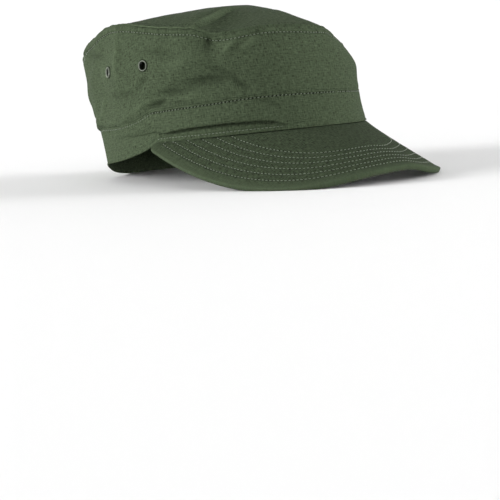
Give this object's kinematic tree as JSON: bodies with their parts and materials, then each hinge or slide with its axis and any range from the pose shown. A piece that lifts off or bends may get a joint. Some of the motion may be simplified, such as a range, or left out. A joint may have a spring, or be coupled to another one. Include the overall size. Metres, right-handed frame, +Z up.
{
  "type": "combat cap",
  "caption": "Soft flat-topped field cap of ripstop cloth with a stiff downturned visor, a plain band and vent eyelets, open underneath for the head.",
  "frame": {"origin": "on the ground, in the middle of the cap's outline seen from above", "axes": "the front and the visor face -Y, the wearer's left is +X, +Z is up"},
  "size_m": [0.1798, 0.3028, 0.1185],
  "materials": {
    "crown_cloth": "olive green ripstop cloth, matt, softly creased",
    "band_cloth": "olive green ripstop cloth, matt, two layers",
    "visor_cloth": "olive green ripstop cloth over a board, rows of stitching",
    "eyelet_paint": "dark green paint on pressed metal, satin"
  },
  "bodies": {
    "root": {"crown_side": "crown_cloth", "crown_top": "crown_cloth", "headband": "band_cloth", "visor": "visor_cloth", "eyelet_right_front": "eyelet_paint", "eyelet_right_rear": "eyelet_paint", "eyelet_left_front": "eyelet_paint", "eyelet_left_rear": "eyelet_paint"}
  },
  "joints": []
}
